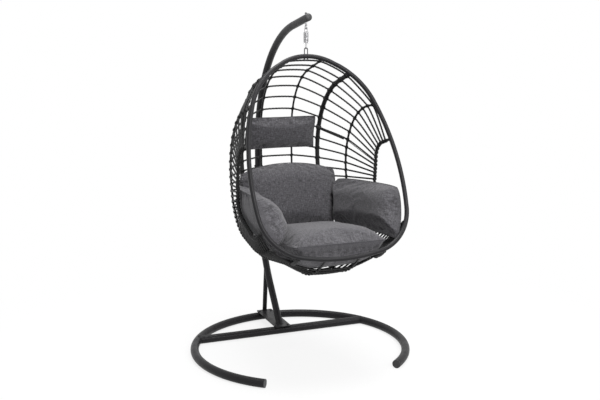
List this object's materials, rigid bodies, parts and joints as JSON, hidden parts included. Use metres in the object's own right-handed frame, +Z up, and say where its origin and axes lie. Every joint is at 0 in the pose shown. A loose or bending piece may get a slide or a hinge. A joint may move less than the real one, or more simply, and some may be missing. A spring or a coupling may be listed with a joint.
{
  "type": "hanging egg chair",
  "caption": "Hanging egg chair: an open strand basket with loose cushions hangs by a drawbar spring from a bowed post on a C-shaped floor ring.",
  "frame": {"origin": "middle of the whole chair's footprint, on the floor", "axes": "+Z up, the seat faces -Y, +X to the right as seen from the front"},
  "size_m": [1.2778, 1.3729, 1.9394],
  "materials": {
    "stand_paint": "satin",
    "hoop_paint": "satin",
    "bound_rib": "satin",
    "wicker_strand": "satin",
    "black_plastic": "matte",
    "bright_hardware": "polished",
    "black_hardware": "satin",
    "inner_steel": "satin",
    "melange_cloth": "matte"
  },
  "bodies": {
    "stand": {"base_ring": "stand_paint", "ring_end_caps": "black_plastic", "cross_tube": "stand_paint", "foot_plate": "stand_paint", "foot_bolts": "black_hardware", "foot_inserts": "inner_steel", "lower_post": "stand_paint", "rear_brace": "stand_paint", "joint_sleeve": "inner_steel", "upper_arm": "stand_paint", "post_bolt": "black_hardware", "post_nut": "black_hardware", "arm_cap": "black_plastic", "arm_eye": "bright_hardware", "arm_eye_nut": "black_hardware"},
    "upper_link": {"upper_drawbar": "bright_hardware"},
    "spring": {"coil_spring": "bright_hardware"},
    "lower_link": {"lower_drawbar": "bright_hardware"},
    "basket": {"hoop_hook": "black_hardware", "hoop_hook_nuts": "black_hardware", "hoop_arch": "hoop_paint", "hoop_lower": "hoop_paint", "hoop_pins": "inner_steel", "left_center_rib": "bound_rib", "right_center_rib": "bound_rib", "left_main_rib": "bound_rib", "right_main_rib": "bound_rib", "left_side_rib": "bound_rib", "right_side_rib": "bound_rib", "left_arm_rib": "bound_rib", "right_arm_rib": "bound_rib", "back_strands": "wicker_strand", "seat_strands": "wicker_strand", "left_back_strands": "wicker_strand", "right_back_strands": "wicker_strand", "left_seat_strands": "wicker_strand", "right_seat_strands": "wicker_strand", "left_side_strands": "wicker_strand", "right_side_strands": "wicker_strand", "left_low_side_strands": "wicker_strand", "right_low_side_strands": "wicker_strand", "left_wing_strands": "wicker_strand", "right_wing_strands": "wicker_strand", "left_low_wing_strands": "wicker_strand", "right_low_wing_strands": "wicker_strand", "seat_cushion": "melange_cloth", "back_cushion": "melange_cloth", "left_arm_cushion": "melange_cloth", "right_arm_cushion": "melange_cloth", "head_pillow": "melange_cloth"}
  },
  "joints": [
    {"name": "side_swing", "type": "hinge", "parent": "stand", "child": "upper_link", "pos_m": [0, -0.15432, 1.85074], "axis": [0, 1, 0], "range_deg": [-10, 10]},
    {"name": "swivel", "type": "hinge", "parent": "upper_link", "child": "spring", "pos_m": [0, -0.15432, 1.77774], "axis": [0, 0, 1], "range_deg": [-45, 45], "stiffness_Nm_per_rad": 4},
    {"name": "spring_stretch", "type": "slide", "parent": "spring", "child": "lower_link", "axis": [0, 0, -1], "range_m": [-0.005, 0.012], "stiffness_N_per_m": 60000, "springref_m": -0.00837, "deforming": ["coil_spring"]},
    {"name": "fore_aft_swing", "type": "hinge", "parent": "lower_link", "child": "basket", "pos_m": [0, -0.15432, 1.74974], "axis": [1, 0, 0], "range_deg": [-15, 15]}
  ]
}
